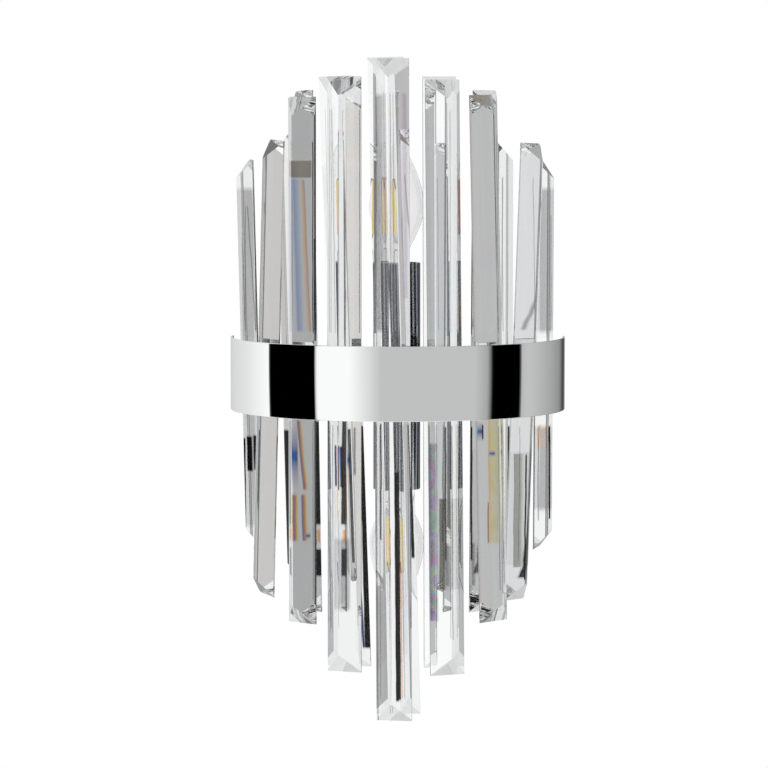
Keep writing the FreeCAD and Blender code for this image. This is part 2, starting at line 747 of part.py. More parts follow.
def make_bulb_stem():
    """Glass stem: flared foot in the neck, pinched top and a thin rod."""
    foot = glass_neck - glass_wall - stem_foot_gap
    foot_top = stem_bottom + stem_foot_height
    stem = turned([
        (0, stem_bottom), (foot, stem_bottom), (foot, foot_top),
        (stem_radius, foot_top + stem_flare), (stem_radius, stem_shoulder),
        (stem_pinch, stem_shoulder + stem_draw), (stem_pinch, stem_pinch_top),
        (rod_radius, stem_pinch_top + rod_draw), (rod_radius, rod_top), (0, rod_top)])
    stem.translate(lamp_axis)
    return stem


def around_axis(place, turn):
    """Point at a distance and height, at an angle round the lamp axis."""
    distance, height = place
    angle = math.radians(turn)
    return lamp_axis + Vector(distance * math.cos(angle), distance * math.sin(angle), height)


def make_bulb_filaments():
    """Coated filament rods, splayed a little towards the point of the glass."""
    rods = []
    for k in range(filament_count):
        turn = filament_turn + k * 360.0 / filament_count
        low = around_axis(filament_low, turn)
        rise = around_axis(filament_high, turn) - low
        rods.append(Part.makeCylinder(filament_radius, rise.Length, low, rise))
    return rods


def thin_wire(start, end):
    """Fine wire between two points, drawn with six sides."""
    wire = bar(wire_radius, 6, 0, (end - start).Length)
    return aimed(wire, start, end - start)


def make_bulb_wires():
    """Thin wires that hold the filament rods: out of the pinch below, into the rod above."""
    wires = []
    for k in range(filament_count):
        turn = filament_turn + k * 360.0 / filament_count
        foot = around_axis((stem_pinch - wire_radius, stem_pinch_top - wire_sink), turn)
        low = around_axis((filament_low[0], filament_low[1] - wire_end_gap), turn)
        high = around_axis((filament_high[0], filament_high[1] + wire_end_gap), turn)
        hook = around_axis((filament_high[0] / 2.0, filament_high[1] + wire_crest), turn)
        head = around_axis((rod_radius - wire_radius, rod_top - wire_sink / 2.0), turn)
        lower = thin_wire(foot, low)
        upper = thin_wire(high, hook).fuse(thin_wire(hook, head))
        wires.append(lower.cut(make_bulb_stem()))
        wires.append(upper.cut(make_bulb_stem()))
    return wires


# ---------------------------------------------------------------- assembly
def all_pieces():
    """Every node of the sconce by name, as one solid or a list of solids."""
    pieces = {
        "outer_band": make_outer_band(),
        "band_angles": make_band_angles(),
        "back_housing": make_back_housing(),
        "wall_bracket": make_wall_bracket(),
        "bracket_studs": make_bracket_studs(),
        "cap_nuts": make_cap_nuts(),
        "earth_screw": make_earth_screw(),
        "band_screws": make_foot_screws([angle_foot_x]),
        "ring_screws": make_foot_screws([inner_foot_x, outer_foot_x]),
        "terminal_block": make_terminal_block(),
        "lamp_hub": make_hub(),
        "arm_pipe": make_arm_pipe(),
        "arm_nuts": make_arm_nuts(),
        "lamp_leads": make_lamp_leads(),
    }
    rows = (
        ("outer", outer_stations, outer_row_radius, outer_ring_radius, band_arc_offset, outer_foot_x),
        ("inner", inner_stations, inner_row_radius, inner_ring_radius, inner_arc_offset, inner_foot_x),
    )
    for row, stations, row_radius, ring_radius, arc_offset, foot_x in rows:
        pieces[row + "_crystal_ring"] = make_crystal_ring(stations, row_radius, ring_radius,
                                                          arc_offset, foot_x)
        hardware = make_station_hardware(stations, row_radius, ring_radius, arc_offset)
        for kind, solids in zip(("screws", "spacers", "nuts"), hardware):
            pieces[row + "_crystal_" + kind] = solids
        for number, station in enumerate(stations, start=1):
            pieces["%s_prism_%d" % (row, number)] = make_prism(station, row_radius, arc_offset)
    paired = {
        "hub_nipples": make_nipple(),
        "sleeve_nuts": make_lock_nut(),
        "screw_shells": make_screw_shell(),
        "centre_contacts": make_centre_contact(),
    }
    for name, solid in paired.items():
        pieces[name] = [solid, turned_over(solid)]
    lamp = {
        "sleeve_%s": [make_sleeve()],
        "lampholder_%s": [make_lampholder()],
        "bulb_%s_glass": [make_bulb_glass()],
        "bulb_%s_cap": [make_bulb_cap()],
        "bulb_%s_stem": [make_bulb_stem()],
        "bulb_%s_wires": make_bulb_wires(),
        "bulb_%s_filaments": make_bulb_filaments(),
    }
    for pattern, solids in lamp.items():
        pieces[pattern % "upper"] = solids
        pieces[pattern % "lower"] = [turned_over(solid) for solid in solids]
    return pieces


def main():
    """Write one STEP file for each node."""
    os.makedirs("parts", exist_ok=True)
    for name, solids in all_pieces().items():
        if not isinstance(solids, list):
            solids = [solids]
        plain = []
        for solid in solids:
            plain.extend(solid.Solids)
        shape = plain[0] if len(plain) == 1 else Part.makeCompound(plain)
        shape.exportStep("parts/%s.step" % name)
        print("%-26s solids %d volume %.1f valid %s" % (name, len(plain), shape.Volume,
                                                       shape.isValid()))


main()
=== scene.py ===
import json
import math

import bpy
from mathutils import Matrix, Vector


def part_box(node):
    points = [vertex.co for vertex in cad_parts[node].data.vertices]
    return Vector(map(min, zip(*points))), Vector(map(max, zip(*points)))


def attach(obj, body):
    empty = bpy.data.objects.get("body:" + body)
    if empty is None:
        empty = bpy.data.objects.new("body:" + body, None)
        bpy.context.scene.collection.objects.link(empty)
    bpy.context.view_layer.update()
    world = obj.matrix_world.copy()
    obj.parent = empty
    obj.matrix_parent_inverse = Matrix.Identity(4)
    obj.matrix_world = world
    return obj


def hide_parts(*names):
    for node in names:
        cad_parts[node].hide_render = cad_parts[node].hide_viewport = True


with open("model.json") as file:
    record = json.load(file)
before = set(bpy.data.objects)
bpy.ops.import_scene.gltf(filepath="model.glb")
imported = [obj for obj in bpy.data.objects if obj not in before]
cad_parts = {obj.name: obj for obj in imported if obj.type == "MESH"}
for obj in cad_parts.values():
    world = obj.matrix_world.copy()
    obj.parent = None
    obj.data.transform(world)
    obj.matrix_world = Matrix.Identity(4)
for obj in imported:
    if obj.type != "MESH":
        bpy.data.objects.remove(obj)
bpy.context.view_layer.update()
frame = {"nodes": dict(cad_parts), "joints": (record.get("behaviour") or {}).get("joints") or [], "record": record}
scene = bpy.context.scene
mm = 0.001


class Field:
    # a number that varies; arithmetic on it adds Math nodes
    def __init__(self, paint, socket):
        self.paint = paint
        self.socket = socket

    def math(self, operation, *others, clamp=False):
        node = self.paint.tree.nodes.new("ShaderNodeMath")
        node.operation = operation
        node.use_clamp = clamp
        for slot, value in enumerate((self,) + others):
            self.paint.feed(node.inputs[slot], value)
        return Field(self.paint, node.outputs[0])

    def __add__(self, other):
        return self.math("ADD", other)

    def __radd__(self, other):
        return self.math("ADD", other)

    def __sub__(self, other):
        return self.math("SUBTRACT", other)

    def __rsub__(self, other):
        return (-self).math("ADD", other)

    def __mul__(self, other):
        return self.math("MULTIPLY", other)

    def __truediv__(self, other):
        return self.math("DIVIDE", other)

    def __neg__(self):
        return self.math("MULTIPLY", -1.0)

    def between(self, low, high):
        # 0 below low, 1 above high
        return ((self - low) / (high - low)).math("ADD", 0.0, clamp=True)


class Paint:
    # one node tree and the short ways to fill it
    def __init__(self, tree):
        self.tree = tree
        tree.nodes.clear()

    def feed(self, socket, value):
        if isinstance(value, Field):
            value = value.socket
        if isinstance(value, bpy.types.NodeSocket):
            self.tree.links.new(value, socket)
        elif value is not None:
            socket.default_value = value

    def node(self, kind, settings=None, inputs=None):
        node = self.tree.nodes.new("ShaderNode" + kind)
        for name, value in (settings or {}).items():
            if name == "stops":
                self.setStops(node.color_ramp, value)
            else:
                setattr(node, name, value)
        for name, value in (inputs or {}).items():
            self.feed(node.inputs[name], value)
        return node

    def setStops(self, ramp, stops):
        while len(ramp.elements) < len(stops):
            ramp.elements.new(1.0)
        for element, (place, colour) in zip(ramp.elements, stops):
            element.position = place
            element.color = colour if len(colour) == 4 else (*colour, 1.0)

    def field(self, socket):
        return Field(self, socket)

    def noise(self, vector, scale, detail=2.0, roughness=0.5):
        node = self.node("TexNoise", {"noise_dimensions": "3D"},
                         {"Vector": vector, "Scale": scale, "Detail": detail, "Roughness": roughness})
        return self.field(node.outputs["Fac"])

    def mix(self, factor, first, second, blend="MIX"):
        node = self.node("Mix", {"data_type": "RGBA", "blend_type": blend},
                         {0: factor, 6: first, 7: second})
        return node.outputs[2]

    def ramp(self, factor, stops):
        return self.node("ValToRGB", {"stops": stops}, {"Fac": factor}).outputs["Color"]


def grey(level):
    return (level, level, level, 1.0)


def newMaterial(name):
    material = bpy.data.materials.new(name)
    material.use_nodes = True
    paint = Paint(material.node_tree)
    shader = paint.node("BsdfPrincipled")
    paint.node("OutputMaterial", inputs={"Surface": shader.outputs[0]})
    where = paint.node("TexCoord").outputs["Object"]
    return material, paint, shader, where


cameraLook = {
    "place": (0.04805, -2.4435, 0.1699),
    "target": (-0.00785, -0.050, -0.0046),
    "lens": 177.66,
    "sensor": 36.0,
    "clipEnd": 50.0,
    "photoSize": 768,       # pixels along each side of the photo
}


def makeCamera(look):
    data = bpy.data.cameras.new("photoCamera")
    data.lens = look["lens"]
    data.sensor_width = look["sensor"]
    data.clip_end = look["clipEnd"]
    camera = bpy.data.objects.new("photoCamera", data)
    scene.collection.objects.link(camera)
    camera.location = look["place"]
    aim = Vector(look["target"]) - Vector(look["place"])
    camera.rotation_euler = aim.to_track_quat("-Z", "Y").to_euler()
    scene.camera = camera


def photoPoint(look, x, y, depth):
    # where the camera's ray through a pixel of the photo meets the upright plane y = depth
    place = Vector(look["place"])
    ahead = (Vector(look["target"]) - place).normalized()
    right = ahead.cross(Vector((0.0, 0.0, 1.0))).normalized()
    above = right.cross(ahead)
    middle = look["photoSize"] / 2
    pixel = look["sensor"] / look["lens"] / look["photoSize"]
    ray = ahead + right * ((x - middle) * pixel) + above * ((middle - y) * pixel)
    return place + ray * ((depth - place.y) / ray.y)


# The room as panels: name, from and to in degrees, brightness at both ends, where 1 is white.
# Degrees count from straight behind the sconce, positive to its right; 180 is the photographer's side.
# Between two panels the brightness runs evenly from one to the other.
studioLook = {
    "mirrored": [
        ("wallBehindCamera", -180, -170, 0.55, 0.55),
        ("leftScreen", -148, -124, 1.0, 1.0),
        ("leftFlag", -123, -83, 0.0, 0.0),
        ("leftWindow", -82, -55, 1.0, 0.8),
        ("backWall", -50, 0, 0.78, 0.6),
        ("backFlag", 15, 20, 0.1, 0.05),
        ("rightWall", 32, 75, 0.3, 0.55),
        ("rightScreen", 80, 85, 0.55, 0.5),
        ("rightFlag", 86, 111, 0.0, 0.0),
        ("rightCurtain", 115, 125, 0.4, 0.55),
        ("wallBehindCamera", 126, 180, 0.55, 0.55),
    ],
    "seenThrough": [
        ("wallBehindCamera", -180, -150, 0.4, 0.27),
        ("leftCurtain", -149, -132, 0.27, 0.6),
        ("leftScreen", -126, -104, 0.9, 0.87),
        ("leftWall", -102, -85, 0.4, 0.35),
        ("leftFlag", -76, -66, 0.05, 0.05),
        ("leftDoor", -60, -50, 0.45, 0.5),
        ("backCurtain", -45, -39, 0.8, 0.8),
        ("backWall", -34, -24, 0.9, 0.95),
        ("backMiddle", -12, 14, 0.92, 0.88),
        ("backWindow", 20, 33, 1.0, 1.0),
        ("rightDoor", 45, 51, 0.45, 0.4),
        ("rightScreen", 57, 65, 0.6, 0.75),
        ("rightFlag", 71, 79, 0.12, 0.05),
        ("rightWall", 86, 105, 0.5, 0.5),
        ("wallBehindCamera", 179, 180, 0.4, 0.4),
    ],
    "spread": 0.005,        # how much further blue is turned by the crystal than green
    "plain": 0.97,
}


def makeStudio(look):
    world = bpy.data.worlds.new("studio")
    world.use_nodes = True
    scene.world = world
    paint = Paint(world.node_tree)
    direction = paint.node("TexCoord").outputs["Generated"]
    parts = paint.node("SeparateXYZ", inputs={"Vector": direction})
    across = paint.field(parts.outputs[0])
    behind = paint.field(parts.outputs[1])
    turn = across.math("ARCTAN2", behind) * (0.5 / math.pi)

    def around(panels, scale):
        stops = []
        for name, start, end, first, last in panels:
            stops += [(0.5 + start / 360.0, grey(first)), (0.5 + end / 360.0, grey(last))]
        return paint.ramp(turn * scale + 0.5, stops)

    mirrored = around(look["mirrored"], 1.0)
    channels = [around(look["seenThrough"], 1.0 + k * look["spread"]) for k in (-1, 0, 1)]
    named = dict(zip(("Red", "Green", "Blue"), channels))
    seenThrough = paint.node("CombineColor", inputs=named).outputs[0]
    path = paint.node("LightPath").outputs
    colour = paint.mix(path["Is Glossy Ray"], grey(look["plain"]), mirrored)
    colour = paint.mix(path["Is Transmission Ray"], colour, seenThrough)
    colour = paint.mix(path["Is Camera Ray"], colour, grey(1.0))
    sky = paint.node("Background", inputs={"Color": colour, "Strength": 1.0})
    paint.node("OutputWorld", inputs={"Surface": sky.outputs[0]})


floorLook = {"height": -0.75, "reach": 0.7, "colour": (0.78, 0.78, 0.78, 1.0), "glow": 0.3, "sides": 64}


def makeFloor(look):
    turns = [2 * math.pi * k / look["sides"] for k in range(look["sides"])]
    corners = [(look["reach"] * math.cos(a), look["reach"] * math.sin(a), look["height"]) for a in turns]
    mesh = bpy.data.meshes.new("floor")
    mesh.from_pydata(corners, [], [tuple(range(look["sides"]))])
    floor = bpy.data.objects.new("floor", mesh)
    scene.collection.objects.link(floor)
    material = bpy.data.materials.new("paleFloor")
    material.use_nodes = True
    paint = Paint(material.node_tree)
    lit = paint.node("BsdfDiffuse", inputs={"Color": look["colour"]})
    glow = paint.node("Emission", inputs={"Color": grey(1.0), "Strength": look["glow"]})
    both = paint.node("AddShader", inputs={0: lit.outputs[0], 1: glow.outputs[0]})
    paint.node("OutputMaterial", inputs={"Surface": both.outputs[0]})
    mesh.materials.append(material)


# pixel rows of the photo at which many streaks end, just clear of the band
overBand = 334
overSide = 332              # for some prisms at the sides, where the band's edge is higher in the picture
underBand = 424

# Painted refractions: streaks of painted light and shade on the prisms, where the sleeves, the studio and rainbow
# light are seen through the crystal, read off enlarged crops of the photo, all in its pixels:
# kind, x of the streak's middle at the top and at the foot, y of both ends, width.
paintedRefractionMarks = {
    "outer_prism_1": [
        ("grey", 248, 250, 186, 528, 13),
        ("dark", 249.5, 250.5, 434, 472, 7),
        ("dark", 244.5, 245.5, 436, 528, 2.5),
        ("smoke", 256, 257, 190, overSide, 1.5),
        ("smoke", 246, 246, 205, overSide, 1.3),
    ],
    "outer_prism_2": [
        ("smoke", 262, 259, 178, overSide, 1.3),
    ],
    "outer_prism_3": [
        ("umber", 302.5, 302.5, 160, 178, 21),
        ("ice", 296.5, 301.5, 177, overSide, 11),
        ("ember", 302.0, 309.0, 178, overSide, 6),
        ("teal", 315.5, 315.5, 237, overSide, 3.2),
        ("dark", 313.2, 313.4, 140, overBand, 1.2),
        ("blue", 294.5, 296.0, 418, 492, 8.5),
        ("fire", 299.5, 306.5, 418, 490, 6),
        ("fire", 296.0, 296.5, 492, 541, 7),
        ("fire", 304.5, 306.0, 492, 541, 7),
        ("blue", 308.2, 308.2, 531, 538, 6.5),
        ("smoke", 313.5, 313.5, 420, 600, 1.4),
    ],
    "outer_prism_4": [
        ("navy", 341, 341.8, 444, 488, 4.6),
        ("amber", 344.2, 345, 446, 520, 1.8),
        ("blue", 348.6, 348.6, 448, 471, 3.2),
        ("amber", 350, 350.2, 472, 485, 2.2),
        ("grey", 344, 344, 536, 612, 11),
        ("smoke", 332.8, 332.8, underBand, 634, 1.3),
        ("smoke", 354, 354.5, 426, 476, 2.6),
        ("smoke", 331, 331, 108, overBand, 1.1),
        ("smoke", 359.5, 359.5, 108, overBand, 1.1),
    ],
    "outer_prism_5": [
        ("grey", 380.5, 382, 92, overBand, 10),
        ("wedge", 395.8, 397.6, 470, 702, 4.2),
        ("amber", 398.6, 400.4, 560, 700, 1.8),
        ("navy", 410.6, 411.6, 486, 630, 2.4),
        ("lilac", 403.5, 405, 92, 300, 8),
        ("smoke", 390.5, 391.5, 92, overBand, 1.1),
        ("smoke", 376.5, 378, underBand, 730, 1.4),
    ],
    "outer_prism_6": [
        ("iris", 433.5, 434.5, 442, 622, 9.5),
        ("olive", 443.5, 443.5, 498, 590, 7.5),
        ("smoke", 429, 429.5, underBand, 640, 1.4),
        ("smoke", 452, 453, underBand, 640, 1.3),
        ("fire", 459.2, 459.6, 178, 236, 3.2),
        ("ember", 459.8, 459.8, 282, overBand, 3),
    ],
    "outer_prism_7": [
        ("blue", 479.8, 479.8, 420, 441, 7.5),
        ("dark", 482.8, 482.8, 422, 440, 1.8),
        ("gold", 493.5, 493.8, 416, 543, 11.5),
        ("fire", 488.6, 488.8, 500, 543, 3.0),
        ("blue", 492, 492, 449, 456, 8),
        ("smoke", 498.5, 500, underBand, 590, 1.5),
        ("smoke", 496.5, 498.5, 134, overBand, 1.1),
    ],
    "outer_prism_8": [
        ("olive", 518.5, 517.5, 452, 566, 10),
        ("dark", 526, 524.5, 452, 580, 2.0),
        ("smoke", 533, 535, 176, overSide, 1.1),
        ("smoke", 520, 518, underBand, 560, 1.2),
    ],
    "outer_prism_9": [
        ("grey", 545, 544, underBand, 512, 11),
        ("grey", 545, 545, 186, overBand, 12),
        ("amber", 545.5, 546, underBand, 450, 1.8),
        ("dark", 549.5, 549.5, underBand, 520, 2.0),
        ("smoke", 551, 551, 214, overSide, 1.2),
        ("smoke", 538, 538, underBand, 520, 2.2),
    ],
    "inner_prism_1": [
        ("dark", 286, 288, 428, 566, 7.5),
        ("smoke", 281, 280, 176, overSide, 1.4),
    ],
    "inner_prism_2": [
        ("dark", 318.8, 318.8, 418, 524, 7.5),
        ("amber", 319.5, 319.5, 526, 541, 5),
        ("dark", 319.5, 320, 545, 575, 7),
        ("smoke", 318, 317, 132, overBand, 1.2),
    ],
    "inner_prism_3": [
        ("dark", 362.5, 368.0, underBand, 648, 7.5),
        ("navy", 358.5, 363.8, 560, 648, 2.2),
        ("smoke", 337, 345, underBand, 628, 1.6),
        ("smoke", 330, 333, 108, overBand, 1.1),
        ("smoke", 352, 356, 108, overBand, 1.1),
    ],
    "inner_prism_4": [
        ("dark", 407.5, 413, underBand, 560, 3.0),
        ("smoke", 390, 393, underBand, 700, 1.4),
        ("lilac", 400, 402, 90, overBand, 5),
    ],
    "inner_prism_5": [
        ("smoke", 431.5, 432, underBand, 628, 1.8),
        ("smoke", 447, 447, underBand, 628, 1.6),
        ("smoke", 431, 431, 110, overBand, 1.0),
    ],
    "inner_prism_6": [
        ("smoke", 473, 473, 540, 585, 6),
        ("dark", 471.5, 471.5, underBand, 560, 2.0),
        ("smoke", 489, 488, 128, overBand, 1.2),
    ],
    "inner_prism_7": [
        ("dark", 508.5, 508, underBand, 545, 2.2),
        ("smoke", 502, 503, 176, overSide, 1.3),
    ],
}

# colours across a painted refraction streak, left to right; the fourth number is its strength
paintedRefractionKinds = {
    "dark": [
        (0.0, (0.02, 0.02, 0.025, 0.0)), (0.16, (0.012, 0.012, 0.016, 1.0)),
        (0.84, (0.012, 0.012, 0.016, 1.0)), (1.0, (0.02, 0.02, 0.025, 0.0))],
    "wedge": [
        (0.0, (0.02, 0.02, 0.03, 0.0)), (0.2, (0.008, 0.007, 0.010, 1.0)),
        (0.8, (0.010, 0.006, 0.005, 1.0)), (1.0, (0.5, 0.2, 0.06, 0.0))],
    "smoke": [
        (0.0, (0.2, 0.2, 0.2, 0.0)), (0.4, (0.17, 0.175, 0.18, 0.85)),
        (0.7, (0.17, 0.175, 0.18, 0.7)), (1.0, (0.3, 0.3, 0.3, 0.0))],
    "grey": [
        (0.0, (0.60, 0.60, 0.61, 0.0)), (0.06, (0.60, 0.60, 0.61, 0.8)),
        (0.94, (0.66, 0.66, 0.66, 0.8)), (1.0, (0.66, 0.66, 0.66, 0.0))],
    "umber": [
        (0.0, (0.30, 0.28, 0.22, 0.0)), (0.05, (0.42, 0.40, 0.34, 1.0)), (0.5, (0.50, 0.49, 0.42, 1.0)),
        (0.9, (0.46, 0.44, 0.38, 1.0)), (1.0, (0.3, 0.3, 0.26, 0.0))],
    "ember": [
        (0.0, (1.0, 0.96, 0.92, 0.0)), (0.4, (1.0, 0.86, 0.74, 1.0)), (0.75, (0.98, 0.66, 0.42, 1.0)),
        (0.9, (0.72, 0.48, 0.40, 0.9)), (1.0, (0.7, 0.6, 0.5, 0.0))],
    "lilac": [
        (0.0, (1.0, 1.0, 1.0, 0.0)), (0.3, (0.93, 0.88, 0.94, 0.9)),
        (0.65, (0.86, 0.80, 0.88, 0.9)), (1.0, (0.95, 0.95, 0.92, 0.0))],
    "olive": [
        (0.0, (0.30, 0.29, 0.25, 0.0)), (0.06, (0.36, 0.35, 0.30, 0.9)),
        (0.7, (0.42, 0.41, 0.36, 0.9)), (1.0, (0.3, 0.3, 0.26, 0.2))],
    "ice": [
        (0.0, (0.62, 0.72, 0.95, 0.0)), (0.25, (0.50, 0.62, 0.92, 1.0)),
        (0.6, (0.72, 0.80, 0.96, 1.0)), (1.0, (1.0, 0.95, 0.95, 0.0))],
    "amber": [
        (0.0, (1.0, 0.92, 0.80, 0.0)), (0.35, (1.0, 0.62, 0.36, 1.0)),
        (0.75, (0.82, 0.36, 0.14, 1.0)), (1.0, (0.7, 0.6, 0.5, 0.0))],
    "teal": [
        (0.0, (0.1, 0.2, 0.2, 0.0)), (0.2, (0.02, 0.09, 0.085, 1.0)),
        (0.8, (0.015, 0.07, 0.07, 1.0)), (1.0, (0.1, 0.2, 0.2, 0.0))],
    "navy": [
        (0.0, (0.3, 0.4, 0.6, 0.0)), (0.3, (0.05, 0.12, 0.32, 1.0)),
        (0.8, (0.02, 0.03, 0.08, 1.0)), (1.0, (0.3, 0.4, 0.5, 0.0))],
    "blue": [
        (0.0, (0.5, 0.8, 0.95, 0.0)), (0.2, (0.03, 0.36, 0.78, 1.0)), (0.55, (0.01, 0.16, 0.62, 1.0)),
        (0.8, (0.18, 0.12, 0.30, 1.0)), (1.0, (0.6, 0.4, 0.4, 0.0))],
    "fire": [
        (0.0, (0.3, 0.45, 0.8, 0.0)), (0.15, (0.22, 0.30, 0.62, 1.0)), (0.32, (0.55, 0.30, 0.42, 1.0)),
        (0.48, (0.86, 0.38, 0.16, 1.0)), (0.66, (1.0, 0.74, 0.36, 1.0)), (0.82, (1.0, 0.94, 0.62, 1.0)),
        (1.0, (1.0, 1.0, 0.9, 0.0))],
    "gold": [
        (0.0, (0.9, 0.6, 0.3, 0.0)), (0.08, (0.86, 0.52, 0.20, 1.0)), (0.25, (0.94, 0.80, 0.42, 1.0)),
        (0.6, (0.86, 0.84, 0.56, 1.0)), (0.85, (0.62, 0.72, 0.66, 1.0)), (1.0, (0.8, 0.8, 0.8, 0.0))],
    "iris": [
        (0.0, (0.5, 0.5, 0.5, 0.0)), (0.12, (0.34, 0.30, 0.46, 1.0)), (0.38, (0.70, 0.72, 0.74, 1.0)),
        (0.62, (0.84, 0.68, 0.80, 1.0)), (0.85, (0.66, 0.80, 0.74, 1.0)), (1.0, (0.6, 0.6, 0.6, 0.0))],
}

# how the painted rainbow colour of two of them drifts along the streak
paintedRainbowTones = {
    "iris": [
        (0.0, (0.50, 0.55, 1.0)), (0.16, (1.0, 0.62, 0.86)), (0.32, (0.55, 0.95, 0.70)),
        (0.48, (0.62, 0.62, 0.62)), (0.62, (1.0, 0.42, 0.80)), (0.76, (0.42, 0.86, 0.98)),
        (0.88, (0.90, 1.0, 0.62)), (1.0, (0.74, 0.60, 1.0))],
    "gold": [
        (0.0, (1.0, 0.95, 0.8)), (0.3, (1.0, 0.80, 0.35)), (0.5, (0.9, 0.95, 0.8)),
        (0.7, (1.0, 0.86, 0.30)), (1.0, (1.0, 1.0, 0.9))],
}

# how the painted refraction streaks of light and shade are laid on the prisms
paintedRefractionLook = {
    "thinnest": 0.5 * mm,
    "sway": 0.5 * mm,           # how far a streak wanders to each side
    "swayScale": 48.0,
    "fade": 1.6 * mm,           # length over which its ends fade
    "fadeTimes": {"olive": 0.4, "umber": 0.4, "grey": 2.0},
    "blueFade": 0.45,           # a blue streak fades over this share of its length at each end
    "toneShare": 0.9,
    "toneDrift": 2.2,
    "tonesPerMetre": 11.0,
    # how far a face is turned to the front before it shows streaks; backs seen from inside show them too
    "front": (0.02, 0.08),
}

crystalLook = {
    "tint": (0.975, 0.982, 0.985, 1.0),
    "refraction": 1.53,
    # the fire patches are painted rainbow colour that stands in for light split into colours by the crystal
    "fire": 0.35,               # strength of the faint rainbow patches
    "firesPerMetre": 31.0,
    "fireDrift": 2.4,
    "driftScale": 9.0,
    "patchScale": 26.0,
    "patch": (0.58, 0.72),
    # painted shade on the blunt edges and the cut ends
    "edge": 0.8,
    "edgeTone": 0.10,
    "edgeTurn": (0.86, 0.93),
    "ends": 0.9,
    "endTone": 0.66,
    "endTurn": (0.25, 0.35),
}

paintedRainbowColours = [
    (0.0, (1.0, 1.0, 1.0)), (0.16, (1.0, 0.93, 0.86)), (0.30, (1.0, 0.99, 0.84)),
    (0.44, (0.88, 1.0, 0.93)), (0.58, (0.86, 0.94, 1.0)), (0.72, (0.94, 0.88, 1.0)),
    (0.86, (1.0, 0.90, 0.96)), (1.0, (1.0, 1.0, 1.0))]


def placedPaintedRefractions(look, piece):
    # a prism's painted refraction streaks in metres, on the upright plane through the middle of the prism
    low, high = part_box(piece)
    depth = (low.y + high.y) / 2
    placed = []
    for kind, xTop, xFoot, yTop, yFoot, width in paintedRefractionMarks[piece]:
        top = photoPoint(cameraLook, xTop, yTop, depth)
        foot = photoPoint(cameraLook, xFoot, yFoot, depth)
        beside = photoPoint(cameraLook, xTop + width, yTop, depth)
        placed.append((kind, top, foot, max(beside.x - top.x, look["thinnest"])))
    return placed


def crystalFinish(look, streak, piece, facing):
    material, paint, shader, where = newMaterial("cutCrystal" + piece.title().replace("_", ""))
    parts = paint.node("SeparateXYZ", inputs={"Vector": where})
    across = paint.field(parts.outputs[0])
    height = paint.field(parts.outputs[2])
    # painted rainbow: faint patches of colour that stand in for light split by the crystal
    drift = paint.noise(where, look["driftScale"], 1.0)
    wave = (height * look["firesPerMetre"] + drift * look["fireDrift"]).math("FRACT")
    patch = paint.noise(where, look["patchScale"], 2.0).between(*look["patch"])
    colour = paint.mix(patch * look["fire"], look["tint"], paint.ramp(wave, paintedRainbowColours))

    # painted shade: the blunt edges gather light from the side and read as thin dark lines, the cut ends as grey;
    # both are painted into the colour by how the face is turned
    surface = paint.node("TexCoord").outputs["Normal"]
    turned = paint.node("SeparateXYZ", inputs={"Vector": surface})
    beside = (-facing[1], facing[0], 0.0)
    aside = paint.node("VectorMath", {"operation": "DOT_PRODUCT"}, {0: surface, 1: beside})
    side = paint.field(aside.outputs["Value"]).math("ABSOLUTE").between(*look["edgeTurn"])
    colour = paint.mix(side * look["edge"], colour, grey(look["edgeTone"]))
    cut = paint.field(turned.outputs[2]).math("ABSOLUTE").between(*look["endTurn"])
    colour = paint.mix(cut * look["ends"], colour, grey(look["endTone"]))

    # painted refractions: streaks of painted light and shade laid over the crystal's colour
    front = (-paint.field(turned.outputs[1])).between(*streak["front"])
    slow = paint.noise(where, streak["swayScale"], 2.0)
    bent = across + (slow - 0.5) * (2.0 * streak["sway"])
    for kind, top, foot, width in placedPaintedRefractions(streak, piece):
        slope = (top.x - foot.x) / (top.z - foot.z)
        line = (height - foot.z) * slope + foot.x
        glint = paint.node("ValToRGB", {"stops": paintedRefractionKinds[kind]}, {"Fac": (bent - line) / width + 0.5})
        seen = glint.outputs["Color"]
        if kind in paintedRainbowTones:
            along = (slow * streak["toneDrift"] + height * streak["tonesPerMetre"]).math("FRACT")
            tone = paint.ramp(along, paintedRainbowTones[kind])
            seen = paint.mix(streak["toneShare"], seen, tone, "MULTIPLY")
        else:
            seen = paint.mix(1.0, seen, seen, "MULTIPLY")
        fade = streak["fade"] * streak["fadeTimes"].get(kind, 1.0)
        if kind == "blue":
            fade = streak["blueFade"] * (top.z - foot.z)
        ends = (height - foot.z).between(0.0, fade) * (top.z - height).between(0.0, fade)
        share = paint.field(glint.outputs["Alpha"]) * ends * front
        colour = paint.mix(share, colour, seen)
    paint.feed(shader.inputs["Base Color"], colour)
    shader.inputs["Transmission Weight"].default_value = 1.0
    shader.inputs["IOR"].default_value = look["refraction"]
    shader.inputs["Roughness"].default_value = 0.0
    return material


glassLook = {"refraction": 1.5, "rippleScale": 160.0}


def clearGlassFinish(name, tint):
    material, paint, shader, where = newMaterial(name)
    ripple = paint.noise(where, glassLook["rippleScale"], 1.0)
    paint.feed(shader.inputs["Base Color"], paint.mix(ripple, grey(tint), grey(1.0)))
    shader.inputs["Transmission Weight"].default_value = 1.0
    shader.inputs["IOR"].default_value = glassLook["refraction"]
    shader.inputs["Roughness"].default_value = 0.0
    return material


metalLook = {"cloudScale": 60.0, "lineScale": 900.0, "detail": 3.0, "lineRoughness": 0.6, "relief": 0.1 * mm}


